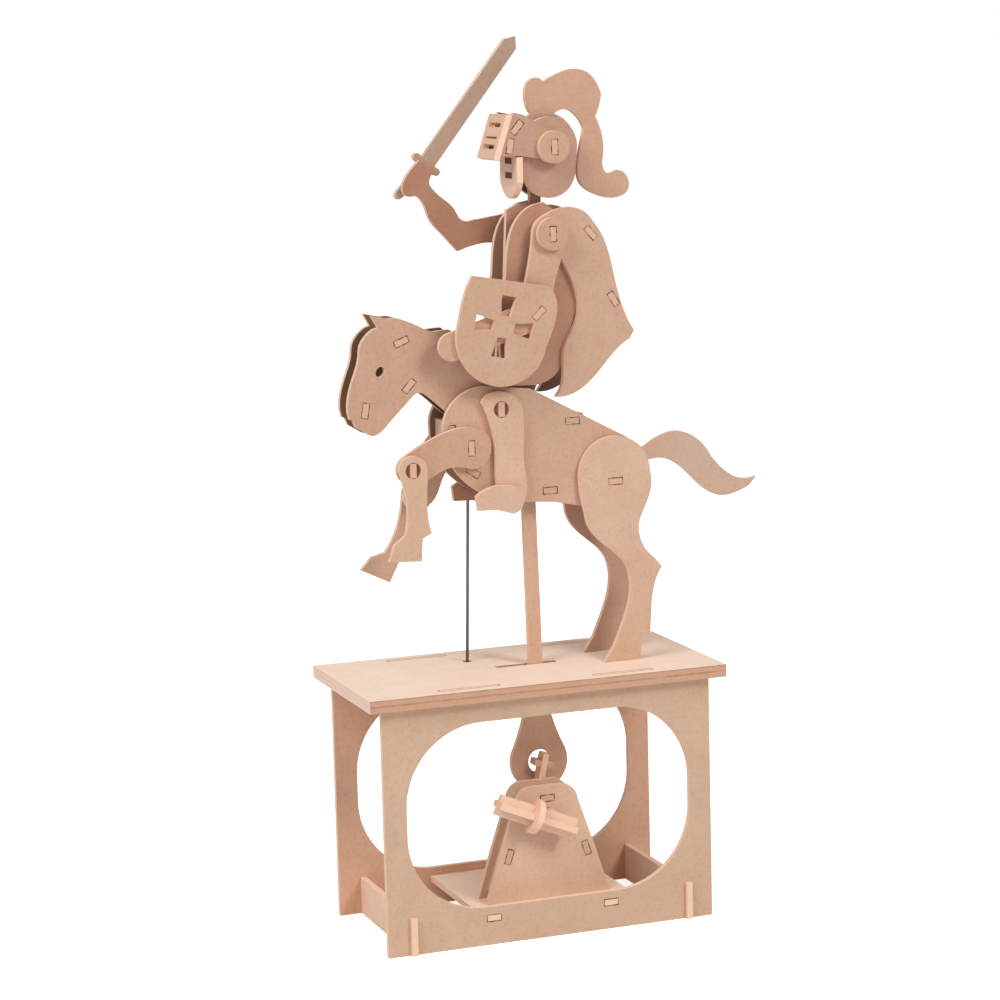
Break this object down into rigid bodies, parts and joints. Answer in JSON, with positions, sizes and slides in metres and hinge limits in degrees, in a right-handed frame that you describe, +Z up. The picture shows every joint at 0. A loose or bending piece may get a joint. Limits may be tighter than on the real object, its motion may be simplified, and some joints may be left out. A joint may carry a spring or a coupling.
{
  "type": "crank automaton",
  "caption": "Hand-cranked flat-sheet automaton: an armoured rider on a rearing horse, rocked by a post and crank in an open windowed box.",
  "frame": {"origin": "on the table under the middle of the whole figure's reach", "axes": "+Z up, +X towards the horse's tail, -Y towards the crank handle and the viewer"},
  "size_m": [0.2174, 0.09, 0.4257],
  "materials": {
    "deck_board": "raw pressed board",
    "sheet_board": "raw pressed board",
    "strip_board": "raw pressed board",
    "steel": "drawn wire"
  },
  "bodies": {
    "base": {"deck_upper": "deck_board", "deck_lower": "deck_board", "front_panel": "sheet_board", "back_panel": "sheet_board", "end_rails": "sheet_board", "floor_plate": "deck_board", "bearing_front_plate": "sheet_board", "bearing_rear_plate": "sheet_board", "bearing_spacers": "strip_board", "hind_leg_near": "sheet_board", "hind_leg_far": "sheet_board", "hip_axle": "strip_board"},
    "crank": {"crank_plate": "sheet_board", "shaft_cross_strip": "strip_board", "pin_cross_strip": "strip_board", "lever_plate": "sheet_board", "lever_fin": "strip_board", "lever_disc": "strip_board"},
    "post": {"post_lever": "sheet_board"},
    "trunk": {"trunk_near": "sheet_board", "trunk_far": "sheet_board", "trunk_spacers": "strip_board", "tail": "sheet_board", "rider_hip_axle": "strip_board", "post_hangers": "sheet_board", "post_pivot_pin": "steel", "torso_spine": "sheet_board", "torso_plates": "sheet_board", "cape_plates": "sheet_board", "rider_spacers": "strip_board", "shoulder_axle": "strip_board", "ear_axle": "strip_board", "rider_washers": "strip_board", "helmet_plates": "sheet_board", "crown_plume": "sheet_board", "chin_plate": "sheet_board", "chin_spacers": "strip_board"},
    "head": {"head_near": "sheet_board", "head_far": "sheet_board", "head_spacers": "strip_board"},
    "forelegs": {"foreleg_near": "sheet_board", "foreleg_far": "sheet_board", "foreleg_axle": "strip_board", "knee_pins": "strip_board"},
    "shin_near": {"shin_near": "sheet_board"},
    "shin_far": {"shin_far": "sheet_board"},
    "wire": {"steel_wire": "steel"},
    "sword_arm": {"sword_arm": "sheet_board", "sword": "sheet_board"},
    "shield_arm": {"shield_arm": "sheet_board", "shield_hand": "sheet_board", "shield": "sheet_board", "shield_strip": "strip_board"},
    "visor": {"visor_near": "sheet_board", "visor_far": "sheet_board", "visor_grille": "sheet_board", "visor_spacers": "strip_board"},
    "rider_leg_near": {"rider_leg_near": "sheet_board"},
    "rider_leg_far": {"rider_leg_far": "sheet_board"}
  },
  "joints": [
    {"name": "crank_spin", "type": "hinge", "parent": "base", "child": "crank", "pos_m": [-0.0147, -0.02, 0.054], "axis": [0, 1, 0], "continuous": true},
    {"name": "horse_rock", "type": "hinge", "parent": "base", "child": "trunk", "pos_m": [0.0282, 0, 0.2134], "axis": [0, -1, 0], "range_deg": [0, 24]},
    {"name": "post_swing", "type": "hinge", "parent": "trunk", "child": "post", "pos_m": [-0.0121, 0, 0.246], "axis": [0, -1, 0], "range_deg": [-24, 0]},
    {"name": "foreleg_swing", "type": "hinge", "parent": "trunk", "child": "forelegs", "pos_m": [-0.0448, 0, 0.2345], "axis": [0, -1, 0], "range_deg": [0, 12]},
    {"name": "wire_tilt", "type": "hinge", "parent": "forelegs", "child": "wire", "pos_m": [-0.039, 0.015, 0.2306], "axis": [0, -1, 0], "range_deg": [-35.16, 0]},
    {"name": "knee_near", "type": "hinge", "parent": "forelegs", "child": "shin_near", "pos_m": [-0.0752, -0.015, 0.2265], "axis": [0, -1, 0], "range_deg": [-15, 15]},
    {"name": "knee_far", "type": "hinge", "parent": "forelegs", "child": "shin_far", "pos_m": [-0.06312, 0.015, 0.20896], "axis": [0, -1, 0], "range_deg": [-15, 15]},
    {"name": "head_nod", "type": "hinge", "parent": "trunk", "child": "head", "pos_m": [-0.0293, 0, 0.252], "axis": [0, -1, 0], "range_deg": [-3, 6]},
    {"name": "sword_arm_swing", "type": "hinge", "parent": "trunk", "child": "sword_arm", "pos_m": [-0.0032, 0.0157, 0.3337], "axis": [0, -1, 0], "range_deg": [-15, 25]},
    {"name": "shield_arm_swing", "type": "hinge", "parent": "trunk", "child": "shield_arm", "pos_m": [-0.0032, -0.0157, 0.3337], "axis": [0, -1, 0], "range_deg": [-10, 10]},
    {"name": "visor_tilt", "type": "hinge", "parent": "trunk", "child": "visor", "pos_m": [0.0008, 0, 0.374], "axis": [0, 1, 0], "range_deg": [0, 20]},
    {"name": "rider_leg_near_swing", "type": "hinge", "parent": "trunk", "child": "rider_leg_near", "pos_m": [-0.0293, -0.0135, 0.252], "axis": [0, -1, 0], "range_deg": [0, 12]},
    {"name": "rider_leg_far_swing", "type": "hinge", "parent": "trunk", "child": "rider_leg_far", "pos_m": [-0.0293, 0.0135, 0.252], "axis": [0, -1, 0], "range_deg": [0, 12]}
  ],
  "couplings": [
    {"joint": "post_swing", "follows": "horse_rock", "ratio": -1},
    {"joint": "foreleg_swing", "follows": "horse_rock", "ratio": 0.5},
    {"joint": "wire_tilt", "follows": "horse_rock", "ratio": -1.465}
  ]
}
